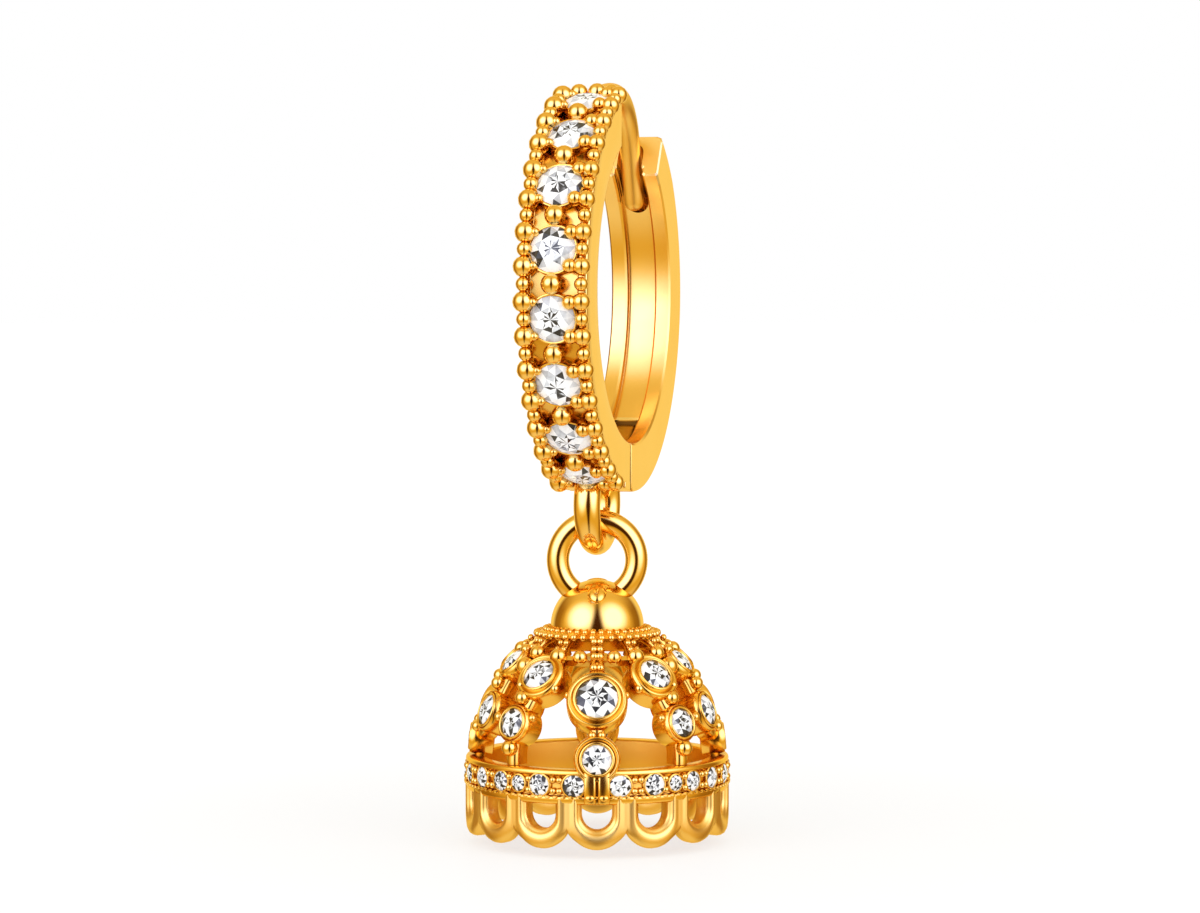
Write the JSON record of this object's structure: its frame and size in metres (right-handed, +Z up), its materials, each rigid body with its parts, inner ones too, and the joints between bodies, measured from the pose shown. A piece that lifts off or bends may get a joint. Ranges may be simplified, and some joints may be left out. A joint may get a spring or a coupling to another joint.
{
  "type": "jhumka earring",
  "caption": "Hinged paved hoop earring with a curved ear post and an openwork, stone-set bell drop that swings from a link.",
  "frame": {"origin": "middle of the ear post's bare span, where the ear lobe sits", "axes": "+Z up as the earring hangs, -Y to the paved front of the hoop, +X along the hinge and across the hoop's width"},
  "size_m": [0.0118, 0.0183, 0.0334],
  "materials": {
    "gold_plate": "polished gold plating on cast brass",
    "clear_stone": "clear brilliant-cut cubic zirconia"
  },
  "bodies": {
    "front": {"hoop_front": "gold_plate", "hinge_pin": "gold_plate", "hoop_stone_1": "clear_stone", "hoop_stone_2": "clear_stone", "hoop_stone_3": "clear_stone", "hoop_stone_4": "clear_stone", "hoop_stone_5": "clear_stone", "hoop_stone_6": "clear_stone", "hoop_stone_7": "clear_stone", "hoop_stone_8": "clear_stone"},
    "back": {"hoop_back": "gold_plate"},
    "drop": {"bell": "gold_plate", "bell_stone_01": "clear_stone", "bell_stone_02": "clear_stone", "bell_stone_03": "clear_stone", "bell_stone_04": "clear_stone", "bell_stone_05": "clear_stone", "bell_stone_06": "clear_stone", "bell_stone_07": "clear_stone", "bell_stone_08": "clear_stone", "bell_stone_09": "clear_stone", "bell_stone_10": "clear_stone", "bell_stone_11": "clear_stone", "bell_stone_12": "clear_stone", "bell_stone_13": "clear_stone", "bell_stone_14": "clear_stone", "bell_stone_15": "clear_stone", "bell_stone_16": "clear_stone", "bell_stone_17": "clear_stone", "bell_stone_18": "clear_stone", "bell_stone_19": "clear_stone", "bell_stone_20": "clear_stone", "bell_stone_21": "clear_stone", "bell_stone_22": "clear_stone"}
  },
  "joints": [
    {"name": "clasp", "type": "hinge", "parent": "front", "child": "back", "pos_m": [0, -0.00255, -0.01725], "axis": [-1, 0, 0], "range_deg": [0, 50]},
    {"name": "drop_swing", "type": "hinge", "parent": "front", "child": "drop", "pos_m": [0, -0.00345, -0.02015], "axis": [0, 1, 0], "range_deg": [-60, 60]}
  ]
}
